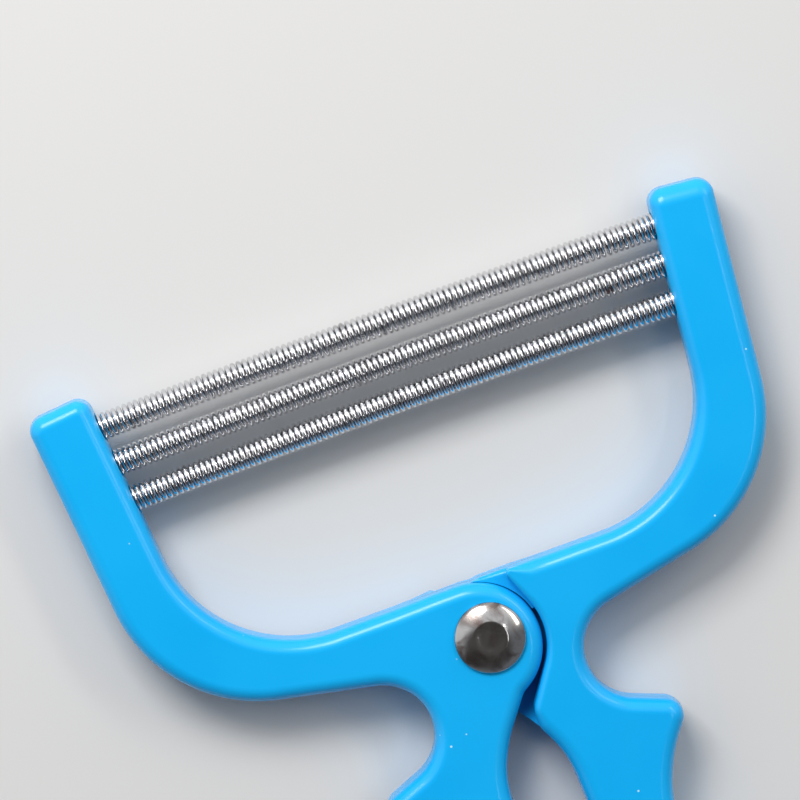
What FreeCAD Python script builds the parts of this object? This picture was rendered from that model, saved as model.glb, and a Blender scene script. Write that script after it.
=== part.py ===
import FreeCAD, Part
import math
import os
import Sketcher

# Facial hair remover: two equal plier arms on a rivet, with three coil springs
# between their tips. It lies on its back: X to the right, Y towards the tips, Z up,
# and the origin is where the pivot axis meets the surface that the rivet rests on.

# Driving dimensions, in millimetres and degrees
SIZES = {
    # Arm, seen from the front, in the right arm's place
    "arm_thickness": 10.0,
    "edge_radius": 2.4,
    "lap_centre_x": 2.4,
    "lap_centre_y": -1.1,
    "lap_radius": 11.0,
    "lap_gap": 0.2,
    "step_clearance": 0.9,
    "step_top_angle": 21.0,
    "step_low_angle": 34.0,
    "step_low_radius": 4.0,
    "step_low_inset": 9.4,
    "step_end_y": -40.0,
    "step_corner_radius": 2.6,
    "ledge_clearance": 0.2,
    "ledge_low_angle": 15.5,
    "ledge_top_angle": 60.0,
    "ledge_lead": 1.5,
    "ledge_root": 0.5,
    "ledge_depth": 2.4,
    "ledge_inset": 0.05,
    "bow_inner_radius": 23.5,
    "bow_outer_radius": 27.0,
    "underside_angle": 12.0,
    "bar_width": 11.5,
    "bar_splay": 5.2,
    "bar_reach": 49.2,
    "tip_length": 13.0,
    "tip_inner_radius": 2.6,
    "tip_outer_radius": 3.0,
    "notch_x": 23.0,
    "notch_y": -10.2,
    "notch_radius": 8.8,
    "hook_angle": 21.6,
    "hook_reach": 28.7,
    "hook_radius": 3.2,
    "waist_x": 18.4,
    "waist_y": -35.8,
    "waist_radius": 27.0,
    "grip_angle": 8.0,
    "grip_end_y": -86.5,
    "grip_end_width": 12.2,
    "grip_end_radius": 5.6,
    "grip_inner_x": 6.3,
    "grip_inner_y": -40.0,
    "grip_inner_angle": 2.5,
    "grip_inner_radius": 60.0,
    "throat_radius": 22.0,
    "throat_inset": 0.386,
    "throat_angle": 37.0,
    "chin_angle": 60.0,
    "chin_radius": 3.0,
    # Springs and their seats in the tip bars
    "spring_y": 49.3,
    "spring_spacing": 6.65,
    "spring_diameter": 4.75,
    "wire_diameter": 0.88,
    "groove_radius": 1.5,
    "spring_turns": 96.0,
    "spring_tuck": 0.1,
    "hole_clearance": 0.35,
    "loop_radius": 1.5,
    "loop_play": 0.03,
    "wall": 5.2,
    "cavity_width": 5.6,
    "cavity_margin": 0.1,
    # Anchor pin and cover
    "pin_diameter": 1.5,
    "pin_seat": 0.02,
    "pin_play": 0.3,
    "cover_thickness": 1.6,
    "cover_inset": 0.35,
    "cover_width": 6.6,
    "cover_play": 0.05,
    "cover_low": 11.7,
    "cover_high": 10.1,
    "rib_width": 1.2,
    "rib_play": 0.03,
    # Rivet
    "bore_radius": 2.55,
    "bore_play": 0.05,
    "head_radius": 6.1,
    "head_height": 1.9,
    "head_rim": 0.45,
    "dimple_radius": 2.9,
    "dimple_depth": 0.3,
    "dimple_slope": 0.25,
    "back_radius": 5.2,
    "back_height": 1.5,
    "head_gap": 0.05,
    "post_radius": 1.6,
    "post_play": 0.04,
    "post_length": 6.4,
    "post_tip_gap": 0.5,
    "shank_gap": 0.5,
}

# Sizes that follow from the driving ones, as formulas of the sheet
DERIVED = {
    "step_wall_radius": "=lap_radius + step_clearance",
    "step_low_x": "=lap_radius + step_clearance - step_low_inset",
    "ledge_wall_radius": "=lap_radius + ledge_clearance",
    "hole_radius": "=spring_diameter / 2 + hole_clearance",
    "cavity_half_length": "=spring_spacing + hole_radius + cavity_margin",
    "pin_radius": "=pin_diameter / 2",
    "seat_depth": "=bar_width - cover_inset - cover_thickness",
    "back_gap": "=back_height + head_gap",
    "middle_height": "=arm_thickness / 2 + back_gap",
    "edge_bevel": "=edge_radius * (2 - sqrt(2))",
    "hole_length": "=2 * wall",
    "cover_depth": "=cover_width - 2 * cover_play",
    "rib_depth": "=cavity_width - 2 * cover_play",
    "pin_length": "=2 * (cavity_half_length - pin_play)",
    "shank_radius": "=bore_radius - bore_play",
}

# Facets of one turn of a spring, on its ridge and in its groove, and sides of its loops
RIDGE_FACETS = 4
GROOVE_FACETS = 3
LOOP_SIDES = 6

doc = FreeCAD.newDocument("hair_remover")
sheet = doc.addObject("Spreadsheet::Sheet", "Sizes")
for row, (alias, value) in enumerate({**SIZES, **DERIVED}.items(), start=1):
    sheet.set(f"A{row}", alias)
    sheet.set(f"B{row}", str(value))
    sheet.setAlias(f"B{row}", alias)
doc.recompute()


def size(alias):
    """Read one driving dimension from the sheet."""
    return float(sheet.get(alias))


def bind(item, name, formula):
    """Tie a property or a named constraint to the sheet; each $word is an alias."""
    item.setExpression(name, formula.replace("$", "Sizes."))


def vector(x, y, z=0.0):
    return FreeCAD.Vector(x, y, z)


def direction(angle):
    """Unit vector in the XY plane at an angle in degrees from +X."""
    return vector(math.cos(math.radians(angle)), math.sin(math.radians(angle)))


def meet(point_a, angle_a, point_b, angle_b):
    """Where two lines in the plane cross, each given by a point and its angle."""
    a = direction(angle_a)
    b = direction(angle_b)
    gap = point_b - point_a
    along = (gap.x * b.y - gap.y * b.x) / (a.x * b.y - a.y * b.x)
    return point_a + a * along


def arc_in_corner(before, corner, after, radius):
    """Centre, start and end of the arc that rounds a corner between two edges."""
    back = (before - corner).normalize()
    ahead = (after - corner).normalize()
    half = back.getAngle(ahead) / 2.0
    reach = radius / math.tan(half)
    centre = corner + (back + ahead).normalize() * (radius / math.sin(half))
    return centre, corner + back * reach, corner + ahead * reach


def fix_radius(sketch, geometry, alias):
    """Tie the radius of an arc or a circle to the sheet."""
    sketch.addConstraint(Sketcher.Constraint("Radius", geometry, size(alias)))
    name = f"{alias}_{geometry}"
    sketch.renameConstraint(len(sketch.Constraints) - 1, name)
    bind(sketch, f"Constraints.{name}", f"${alias}")


def draw_circle(sketch, centre, alias):
    circle = Part.Circle(centre, vector(0, 0, 1), size(alias))
    fix_radius(sketch, sketch.addGeometry(circle), alias)


def draw_rounded(sketch, corners):
    """Draw a closed outline of straight edges joined by tangent arcs.

    Each corner is (point, alias of its radius), with no alias for a sharp one.
    """
    count = len(corners)
    starts = []
    ends = []
    arcs = []
    for index, (point, alias) in enumerate(corners):
        before = corners[index - 1][0]
        after = corners[(index + 1) % count][0]
        if alias is None:
            starts.append(point)
            ends.append(point)
            arcs.append(None)
            continue
        radius = size(alias)
        centre, start, end = arc_in_corner(before, point, after, radius)
        turns_left = (point - before).cross(after - point).z > 0
        first, last = (start, end) if turns_left else (end, start)
        angle_a = math.atan2(first.y - centre.y, first.x - centre.x)
        angle_b = math.atan2(last.y - centre.y, last.x - centre.x)
        circle = Part.Circle(centre, vector(0, 0, 1), radius)
        arc = sketch.addGeometry(Part.ArcOfCircle(circle, angle_a, angle_b))
        fix_radius(sketch, arc, alias)
        starts.append(start)
        ends.append(end)
        arcs.append((arc, 1 if turns_left else 2, 2 if turns_left else 1))
    lines = [
        sketch.addGeometry(Part.LineSegment(ends[index], starts[(index + 1) % count]))
        for index in range(count)
    ]
    for index in range(count):
        line = lines[index]
        following = lines[(index + 1) % count]
        arc = arcs[(index + 1) % count]
        if arc is None:
            sketch.addConstraint(Sketcher.Constraint("Coincident", line, 2, following, 1))
            continue
        geometry, enters, leaves = arc
        sketch.addConstraint(Sketcher.Constraint("Tangent", line, 2, geometry, enters))
        sketch.addConstraint(Sketcher.Constraint("Tangent", geometry, leaves, following, 1))


def origin_plane(body, role):
    for feature in body.Origin.OriginFeatures:
        if feature.Role == role:
            return feature
    raise ValueError(f"{body.Label} has no {role}")


def new_sketch(body, name, role="XY_Plane", offset=None):
    """A sketch on one of the body's own origin planes."""
    sketch = body.newObject("Sketcher::SketchObject", name)
    sketch.AttachmentSupport = [(origin_plane(body, role), "")]
    sketch.MapMode = "FlatFace"
    if offset is not None:
        sketch.AttachmentOffset = offset
    return sketch


def new_body(label):
    body = doc.addObject("PartDesign::Body", label)
    body.Label = label
    return body


def pad(body, name, sketch, formula, both_ways=False, backwards=False):
    feature = body.newObject("PartDesign::Pad", name)
    feature.Profile = sketch
    feature.Refine = False
    feature.FuzzyTolerance = 0.0
    if both_ways:
        feature.SideType = "Symmetric"
    feature.Reversed = backwards
    bind(feature, "Length", formula)
    sketch.Visibility = False
    return feature


def pocket(body, name, sketch, formula, both_ways=False, backwards=False):
    """Cut a sketch into a body, and stop if nothing was cut."""
    doc.recompute()
    before = body.Shape.Volume
    feature = body.newObject("PartDesign::Pocket", name)
    feature.Profile = sketch
    feature.Refine = False
    feature.FuzzyTolerance = 0.0
    if both_ways:
        feature.SideType = "Symmetric"
    feature.Reversed = backwards
    bind(feature, "Length", formula)
    doc.recompute()
    if body.Shape.Volume >= before - 1e-6:
        raise ValueError(f"{name} cuts nothing")
    return feature


def dress_edges(body, kind, name, chosen, formula):
    """Fillet or chamfer the edges of the body that the function chosen picks."""
    doc.recompute()
    base = body.Tip
    names = [
        f"Edge{index}"
        for index, edge in enumerate(base.Shape.Edges, start=1)
        if chosen(edge)
    ]
    feature = body.newObject(f"PartDesign::{kind}", name)
    feature.Base = (base, names)
    feature.Refine = False
    feature.FuzzyTolerance = 0.0
    bind(feature, "Radius" if kind == "Fillet" else "Size", formula)
    doc.recompute()
    return feature


def lies_at(edge, heights):
    """Whether all of an edge lies at one of some heights."""
    box = edge.BoundBox
    flat = box.ZMax - box.ZMin < 1e-4
    return flat and any(abs(box.ZMin - height) < 1e-4 for height in heights)


# Places on the arm that several pieces share

HALF = size("arm_thickness") / 2.0
SPLAY = size("bar_splay")
ALONG = direction(90.0 - SPLAY)
OUTWARD = direction(-SPLAY)
BAR_POINT = vector(size("bar_reach"), size("spring_y"))
HOLE_SPACING = size("spring_spacing") / math.cos(math.radians(SPLAY))
MIDDLE = size("middle_height")
RIGHT_WAY = FreeCAD.Placement(vector(0, 0, MIDDLE), FreeCAD.Rotation())
TURNED = FreeCAD.Placement(vector(0, 0, MIDDLE), FreeCAD.Rotation(vector(0, 1, 0), 180))


def on_bar(along, outward):
    """A point of the tip bar, from the middle spring's place on its inner face."""
    return BAR_POINT + ALONG * along + OUTWARD * outward


def arm_corners():
    """Corners of the arm's outline, clockwise from the bow, each with its radius."""
    lap_centre = vector(size("lap_centre_x"), size("lap_centre_y"))
    lap_radius = size("lap_radius")
    lap_top = lap_centre + vector(0, lap_radius)
    chin_angle = 90.0 + size("chin_angle")
    lap_low = lap_centre + direction(chin_angle + 90.0) * lap_radius
    lap_corner = meet(lap_low, chin_angle, lap_top, 0.0)
    bow_inner = meet(lap_top, 0.0, BAR_POINT, 90.0 - SPLAY)
    tip_inner = on_bar(size("tip_length"), 0.0)
    tip_outer = on_bar(size("tip_length"), size("bar_width"))
    notch_centre = vector(size("notch_x"), size("notch_y"))
    under_angle = size("underside_angle")
    hook_angle = -size("hook_angle")
    notch_top = notch_centre + direction(90.0 + under_angle) * size("notch_radius")
    notch_low = notch_centre + direction(hook_angle - 90.0) * size("notch_radius")
    bow_outer = meet(tip_outer, 90.0 - SPLAY, notch_top, under_angle)
    notch = meet(notch_top, under_angle, notch_low, hook_angle)
    hook = meet(notch_low, hook_angle, vector(size("hook_reach"), 0), 90.0)
    waist = vector(size("waist_x"), size("waist_y"))
    grip_heading = size("grip_angle") - 90.0
    end_outer = meet(waist, grip_heading, vector(0, size("grip_end_y")), 0.0)
    end_inner = end_outer + direction(grip_heading - 90.0) * size("grip_end_width")
    grip_bend = vector(size("grip_inner_x"), size("grip_inner_y"))
    throat_angle = 90.0 + size("throat_angle")
    throat_start = lap_low - direction(throat_angle + 90.0) * size("throat_inset")
    throat = meet(grip_bend, 90.0 + size("grip_inner_angle"), throat_start, throat_angle)
    chin = meet(throat_start, throat_angle, lap_low, chin_angle)
    return [
        (bow_inner, "bow_inner_radius"),
        (tip_inner, "tip_inner_radius"),
        (tip_outer, "tip_outer_radius"),
        (bow_outer, "bow_outer_radius"),
        (notch, "notch_radius"),
        (hook, "hook_radius"),
        (waist, "waist_radius"),
        (end_outer, "grip_end_radius"),
        (end_inner, "grip_end_radius"),
        (grip_bend, "grip_inner_radius"),
        (throat, "throat_radius"),
        (chin, "chin_radius"),
        (lap_corner, "lap_radius"),
    ]


def step_corners():
    """Corners of what is cut away in front of the lap, up to the step wall.

    The wall is round about the other arm's lap, with straight flanks above and below.
    """
    radius = size("step_wall_radius")
    centre = vector(-size("lap_centre_x"), size("lap_centre_y"))
    top_angle = size("step_top_angle")
    low_angle = -size("step_low_angle")
    wall_top = centre + direction(top_angle) * radius
    wall_low = centre + direction(low_angle) * radius
    wall = meet(wall_top, top_angle + 90.0, wall_low, low_angle + 90.0)
    above = meet(wall_top, top_angle + 90.0, centre + vector(0, 2.0 * radius), 0.0)
    low = meet(wall_low, low_angle + 90.0, vector(size("step_low_x"), 0), 90.0)
    below = vector(low.x, size("step_end_y"))
    left = -2.0 * radius
    return [
        (wall, "step_wall_radius"),
        (above, None),
        (vector(left, above.y), None),
        (vector(left, below.y), None),
        (below, None),
        (low, "step_low_radius"),
    ]


def ledge_corners():
    """Corners of the ledge that fills the step's upper part, close to the other arm's lap."""
    centre = vector(-size("lap_centre_x"), size("lap_centre_y"))
    near = size("ledge_wall_radius")
    low_angle = size("ledge_low_angle")
    start_angle = low_angle + size("ledge_lead")
    top_angle = size("ledge_top_angle")
    start = centre + direction(start_angle) * near
    end = centre + direction(top_angle) * near
    inner = meet(start, start_angle + 90.0, centre, low_angle)
    arc = meet(start, start_angle + 90.0, end, top_angle + 90.0)
    left = meet(end, top_angle + 90.0, vector(size("lap_centre_x"), 0), 90.0)
    top = size("lap_centre_y") + size("lap_radius") - size("ledge_inset")
    behind_wall = size("step_wall_radius") + size("step_corner_radius") / 2.0
    outer = centre + direction(low_angle) * behind_wall
    return [
        (inner, None),
        (arc, "ledge_wall_radius"),
        (left, None),
        (vector(left.x, top), None),
        (vector(behind_wall + centre.x, top), None),
        (outer, None),
    ]


def draw_block(sketch, low, high, inner, outer):
    """A four-sided outline square to the tip bar."""
    corners = [on_bar(low, inner), on_bar(high, inner), on_bar(high, outer), on_bar(low, outer)]
    draw_rounded(sketch, [(corner, None) for corner in corners])


def arm(label, placement):
    """One moulded arm; both arms are the same moulding, and one is turned over."""
    body = new_body(label)
    outline = new_sketch(body, f"{label}_outline")
    draw_rounded(outline, arm_corners())
    pad(body, f"{label}_blank", outline, "$arm_thickness", both_ways=True)

    lap_face = FreeCAD.Placement(vector(0, 0, -size("lap_gap") / 2.0), FreeCAD.Rotation())
    step = new_sketch(body, f"{label}_step", offset=lap_face)
    draw_rounded(step, step_corners())
    pocket(body, f"{label}_lap", step, "$arm_thickness", backwards=True)

    lap_top = size("lap_centre_y") + size("lap_radius")

    def step_corner(edge):
        box = edge.BoundBox
        upright = HALF < box.ZLength < 1.5 * HALF and box.XLength < 1e-4
        return upright and abs(box.YMin - lap_top) < 1e-4

    corner_name = f"{label}_step_corner"
    dress_edges(body, "Fillet", corner_name, step_corner, "$step_corner_radius")

    def face_edge(edge):
        return lies_at(edge, (HALF, -HALF))

    # The rounded edges of both faces, each as the flat that touches the arc half way
    dress_edges(body, "Chamfer", f"{label}_edges", face_edge, "$edge_bevel")

    root = size("lap_gap") / 2.0 + size("ledge_root")
    root_face = FreeCAD.Placement(vector(0, 0, -root), FreeCAD.Rotation())
    ledge = new_sketch(body, f"{label}_ledge_outline", offset=root_face)
    draw_rounded(ledge, ledge_corners())
    height = "$arm_thickness / 2 - $ledge_depth + $lap_gap / 2 + $ledge_root"
    pad(body, f"{label}_ledge", ledge, height)

    bore = new_sketch(body, f"{label}_bore")
    draw_circle(bore, vector(0, 0), "bore_radius")
    pocket(body, f"{label}_pivot", bore, "2 * $arm_thickness", both_ways=True)

    across = FreeCAD.Rotation(ALONG, vector(0, 0, 1), OUTWARD, "ZXY")
    holes = new_sketch(body, f"{label}_holes", offset=FreeCAD.Placement(BAR_POINT, across))
    for place in (-1, 0, 1):
        draw_circle(holes, vector(place * HOLE_SPACING, 0), "hole_radius")
    pocket(body, f"{label}_spring_holes", holes, "$hole_length", both_ways=True)

    bar_width = size("bar_width")
    seat = new_sketch(body, f"{label}_seat")
    outside = bar_width + HALF
    draw_block(seat, -size("cover_low"), size("cover_high"), size("seat_depth"), outside)
    pocket(body, f"{label}_cover_seat", seat, "$cover_width", both_ways=True)
    cavity = new_sketch(body, f"{label}_cavity")
    reach = size("cavity_half_length")
    draw_block(cavity, -reach, reach, size("wall"), bar_width)
    pocket(body, f"{label}_spring_cavity", cavity, "$cavity_width", both_ways=True)
    body.Placement = placement
    return body


def anchor_pin(label, placement):
    """The pin along the tip bar that the springs' end loops are hooked on."""
    body = new_body(label)
    outward = size("wall") + size("pin_seat") + size("pin_diameter") / 2.0
    turn = FreeCAD.Rotation(vector(0, 0, 1), OUTWARD, ALONG, "ZXY")
    place = FreeCAD.Placement(on_bar(0.0, outward), turn)
    section = new_sketch(body, f"{label}_section", offset=place)
    draw_circle(section, vector(0, 0), "pin_radius")
    pad(body, f"{label}_rod", section, "$pin_length", both_ways=True)
    body.Placement = placement
    return body


def cover(label, placement):
    """The strip that closes the springs' cavity, with two ribs that hold the pin."""
    body = new_body(label)
    play = size("cover_play")
    low = play - size("cover_low")
    high = size("cover_high") - play
    inner = size("seat_depth")
    outer = size("bar_width") - size("cover_inset")
    outline = new_sketch(body, f"{label}_outline")
    draw_block(outline, low, high, inner, outer)
    pad(body, f"{label}_strip", outline, "$cover_depth", both_ways=True)
    ribs = new_sketch(body, f"{label}_ribs")
    rib_end = size("wall") + size("pin_seat") + size("pin_diameter") + size("rib_play")
    for side in (-1, 1):
        middle = side * size("spring_spacing") / 2.0
        half_width = size("rib_width") / 2.0
        draw_block(ribs, middle - half_width, middle + half_width, rib_end, inner + play)
    pad(body, f"{label}_rib_pair", ribs, "$rib_depth", both_ways=True)
    body.Placement = placement
    return body


def polygon_ring(centre, outer, inner, width):
    """A ring of flat sides about an axis along Y, with flats across X and Z."""
    wires = []
    for radius in (outer, inner):
        corner = radius / math.cos(math.pi / LOOP_SIDES)
        points = []
        for index in range(LOOP_SIDES + 1):
            angle = math.pi * (2 * index + 1) / LOOP_SIDES
            across = vector(math.cos(angle), -width / 2.0, math.sin(angle))
            points.append(centre + vector(corner * across.x, across.y, corner * across.z))
        wires.append(Part.makePolygon(points))
    face = Part.Face(wires[0]).cut(Part.Face(wires[1]))
    return face.extrude(vector(0, width, 0))


def helix(start, pitch, first, last, radius, facets):
    """Points of a helix along X, from one number of turns to another."""
    points = []
    for step in range(int(round((last - first) * facets)) + 1):
        turned = first + step / facets
        angle = 2.0 * math.pi * (turned - first)
        across = vector(0, math.cos(angle), math.sin(angle)) * radius
        points.append(across + vector(start + turned * pitch, 0))
    return points


def strip(one_side, other_side):
    """Triangles between two rows of corners, where the row that lags steps on."""
    triangles = []
    one = 0
    other = 0
    last_one = len(one_side) - 1
    last_other = len(other_side) - 1
    while one < last_one or other < last_other:
        if (one + 1) * last_other <= (other + 1) * last_one:
            triangles.append((one_side[one], one_side[one + 1], other_side[other]))
            one += 1
        else:
            triangles.append((one_side[one], other_side[other + 1], other_side[other]))
            other += 1
    return triangles


def coil(start, pitch, turns, ridge_radius, groove_radius):
    """A row of turns along X as one closed solid, whose wire shows as a ridge."""
    ridge = helix(start, pitch, 0.0, turns, ridge_radius, RIDGE_FACETS)
    groove = helix(start, pitch, 0.5, turns - 0.5, groove_radius, GROOVE_FACETS)
    hubs = [vector(start + pitch / 2.0, 0), vector(start + (turns - 0.5) * pitch, 0)]
    points = ridge + groove + hubs
    ridge_row = list(range(len(ridge)))
    groove_row = list(range(len(ridge), len(ridge) + len(groove)))
    triangles = strip(ridge_row[:-RIDGE_FACETS], groove_row)
    triangles += strip(groove_row, ridge_row[RIDGE_FACETS:])
    near_rim = ridge_row[: RIDGE_FACETS + 1] + groove_row[:1]
    far_rim = ridge_row[-RIDGE_FACETS - 1 :] + groove_row[-1:]
    for index in range(len(near_rim)):
        triangles.append((len(points) - 2, near_rim[index], near_rim[index - 1]))
        triangles.append((len(points) - 1, far_rim[index - 1], far_rim[index]))
    shell = Part.Shape()
    shell.makeShapeFromMesh((points, triangles), 1e-4)
    return Part.Solid(shell)


def spring(label, place):
    """One tension spring, drawn straight from pin to pin, with a loop at each end."""
    along = place * size("spring_spacing")
    face = size("bar_reach") + along * math.tan(math.radians(SPLAY))
    wire = size("wire_diameter")
    end = face + size("spring_tuck")
    turns = size("spring_turns")
    pitch = 2.0 * end / turns
    shape = coil(-end, pitch, turns, size("spring_diameter") / 2.0, size("groove_radius"))
    pin_radius = size("pin_radius")
    pin_outward = size("wall") + size("pin_seat") + pin_radius
    pin_x = face + pin_outward / math.cos(math.radians(SPLAY))
    loop_radius = size("loop_radius")
    inner = loop_radius - wire / 2.0
    loop_x = pin_x + pin_radius + size("loop_play") - inner
    added = []
    for side in (-1, 1):
        centre = vector(side * loop_x, 0)
        added.append(polygon_ring(centre, loop_radius + wire / 2.0, inner, wire))
        near = end - pitch
        far = loop_x - loop_radius
        corner = vector(near if side > 0 else -far, -wire / 2.0, -wire / 2.0)
        added.append(Part.makeBox(far - near, wire, wire, corner))
    item = doc.addObject("Part::Feature", label)
    item.Label = label
    item.Shape = shape.fuse(added)
    item.Placement = FreeCAD.Placement(
        vector(0, size("spring_y") + along, MIDDLE), FreeCAD.Rotation()
    )
    return item


def draw_profile(sketch, points):
    """A closed outline of straight edges, with its points as (distance, height)."""
    draw_rounded(sketch, [(vector(distance, height), None) for distance, height in points])


def turned_piece(label, points):
    """A turned piece about the pivot axis, from its half profile."""
    body = new_body(label)
    profile = new_sketch(body, f"{label}_profile", "XZ_Plane")
    draw_profile(profile, points)
    turned = body.newObject("PartDesign::Revolution", f"{label}_turned")
    turned.Profile = profile
    turned.ReferenceAxis = (profile, ["V_Axis"])
    turned.Refine = False
    turned.FuzzyTolerance = 0.0
    return body


def rivet_cap():
    """The domed front head with its shank through both laps."""
    seat = MIDDLE + HALF
    top = seat + size("head_height")
    dimple = size("dimple_radius")
    floor = top - size("dimple_depth")
    shank = size("shank_radius")
    shank_end = size("back_height") + size("shank_gap")
    post_bore = size("post_radius") + size("post_play")
    bore_end = size("back_height") + size("post_length") + size("post_tip_gap")
    head = size("head_radius")
    return turned_piece(
        "rivet_cap",
        [
            (0.0, floor),
            (dimple - size("dimple_slope"), floor),
            (dimple, top),
            (head, seat + size("head_rim")),
            (head, seat),
            (shank, seat),
            (shank, shank_end),
            (post_bore, shank_end),
            (post_bore, bore_end),
            (0.0, bore_end),
        ],
    )


def rivet_post():
    """The flat back head, on which the tool lies, with its post in the cap's shank."""
    height = size("back_height")
    head = size("back_radius")
    post = size("post_radius")
    post_end = height + size("post_length")
    return turned_piece(
        "rivet_post",
        [
            (0.0, 0.0),
            (head, 0.0),
            (head, height),
            (post, height),
            (post, post_end),
            (0.0, post_end),
        ],
    )


pieces = [rivet_cap(), rivet_post()]
for side, placement in (("right", RIGHT_WAY), ("left", TURNED)):
    pieces.append(arm(f"{side}_arm", placement))
    pieces.append(anchor_pin(f"{side}_anchor_pin", placement))
    pieces.append(cover(f"{side}_cover", placement))
for word, place in (("bottom", -1), ("middle", 0), ("top", 1)):
    pieces.append(spring(f"spring_{word}", place))
doc.recompute()

for item in doc.Objects:
    if "Invalid" in item.State or "Error" in item.State:
        raise ValueError(f"{item.Name} is {item.State}")
for piece in pieces:
    if piece.Shape.isNull() or not piece.Shape.isValid():
        raise ValueError(f"{piece.Label} is not a valid shape")
    if len(piece.Shape.Solids) != 1:
        raise ValueError(f"{piece.Label} is not one solid")

os.makedirs("parts", exist_ok=True)
for piece in pieces:
    piece.Shape.exportStep(f"parts/{piece.Label}.step")
    print(piece.Label, round(piece.Shape.Volume, 1), "cubic mm")
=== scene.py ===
import cmath
import logging
import math
from dataclasses import dataclass
from enum import Enum
from itertools import accumulate
from typing import Any, Sequence

import bmesh
import bpy
from mathutils import Matrix, Vector


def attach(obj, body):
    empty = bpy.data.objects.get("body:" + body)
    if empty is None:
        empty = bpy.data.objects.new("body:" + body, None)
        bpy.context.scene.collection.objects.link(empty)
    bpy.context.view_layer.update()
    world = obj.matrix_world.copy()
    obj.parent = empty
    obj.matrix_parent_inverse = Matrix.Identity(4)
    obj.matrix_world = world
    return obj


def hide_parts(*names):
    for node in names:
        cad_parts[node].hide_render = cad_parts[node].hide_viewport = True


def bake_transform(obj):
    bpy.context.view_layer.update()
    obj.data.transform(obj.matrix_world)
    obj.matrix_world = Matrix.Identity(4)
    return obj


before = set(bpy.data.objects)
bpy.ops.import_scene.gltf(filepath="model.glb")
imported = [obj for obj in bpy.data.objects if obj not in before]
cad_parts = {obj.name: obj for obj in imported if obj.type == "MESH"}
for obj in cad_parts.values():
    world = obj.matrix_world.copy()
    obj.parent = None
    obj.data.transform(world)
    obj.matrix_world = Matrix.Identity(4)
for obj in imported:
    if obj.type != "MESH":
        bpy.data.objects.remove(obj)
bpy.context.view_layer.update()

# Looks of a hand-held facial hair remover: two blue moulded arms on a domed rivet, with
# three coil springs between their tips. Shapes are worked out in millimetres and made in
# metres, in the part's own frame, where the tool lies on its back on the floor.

LOG = logging.getLogger("hair_remover")
# A point of an outline, and the outward normal there.
Sample = tuple[complex, complex]
Colour = tuple[float, float, float]
Place = tuple[float, float, float]
Socket = Any

# A millimetre in the scene's metres. All lengths below are in millimetres, apart from the
# finishes' and the lamps', which are in metres.
MM = 0.001
# Height of the plane that both arms share.
MIDDLE = 6.55
# The springs' places along the bars, from the bottom up, in spacings from the middle one.
SPRING_PLACES = (-1, 0, 1)
# Longest step and largest turn along an arc, and the longest step along a line.
CHORD = 0.5
LARGEST_TURN = math.radians(5.0)
LINE_STEP = 4.0
# Points closer than this are one point.
SAME_PLACE = 1e-5
# An edge is shaded sharp where it turns by more than this.
SHARP_ANGLE = math.radians(35.0)
# The Mix node's colour sockets, which share their names with its other sockets.
MIX_ONE, MIX_OTHER, MIX_RESULT = 6, 7, 2
IN_METRES = Matrix.Diagonal((MM, MM, MM, 1.0))


# Plane geometry, with a point or a direction as a complex number

def heading(degrees: float) -> complex:
    """Unit direction at an angle from +X."""
    return cmath.rect(1.0, math.radians(degrees))


def cross(one: complex, other: complex) -> float:
    """Cross product of two directions."""
    return (one.conjugate() * other).imag


def unit(direction: complex) -> complex:
    """A direction at unit length."""
    return direction / abs(direction)


def meet(one: complex, one_angle: float, other: complex, other_angle: float) -> complex:
    """Find where two lines cross.

    Args:
        one: a point of the first line.
        one_angle: its angle from +X, in degrees.
        other: a point of the second line.
        other_angle: its angle from +X, in degrees.

    Returns:
        The crossing point.
    """
    first, second = heading(one_angle), heading(other_angle)
    return one + first * (cross(other - one, second) / cross(first, second))


@dataclass(frozen=True)
class Bend:
    """An arc of a clockwise outline, which turns right where it is convex."""

    centre: complex
    start: complex
    end: complex
    convex: bool

    @staticmethod
    def in_corner(before: complex, corner: complex, after: complex, radius: float) -> "Bend":
        """Round the corner between two edges.

        Args:
            before: a point of the edge that comes in.
            corner: where the edges cross.
            after: a point of the edge that goes out.
            radius: the arc's radius.

        Returns:
            The arc that touches both edges.
        """
        back, ahead = unit(before - corner), unit(after - corner)
        half = abs(cmath.phase(back / ahead)) / 2.0
        reach = radius / math.tan(half)
        centre = corner + unit(back + ahead) * (radius / math.sin(half))
        convex = cross(corner - before, after - corner) < 0.0
        return Bend(centre, corner + back * reach, corner + ahead * reach, convex)

    def samples(self) -> list[Sample]:
        """Walk along the arc.

        Returns:
            Points of the arc, each with its outward normal.
        """
        spoke = self.start - self.centre
        radius = abs(spoke)
        sweep = cmath.phase((self.end - self.centre) / spoke)
        step = min(CHORD / radius, LARGEST_TURN)
        count = max(2, math.ceil(abs(sweep) / step))
        outward = 1.0 if self.convex else -1.0
        found = []
        for index in range(count + 1):
            arm = spoke * cmath.rect(1.0, sweep * index / count)
            found.append((self.centre + arm, arm / radius * outward))
        return found


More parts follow.
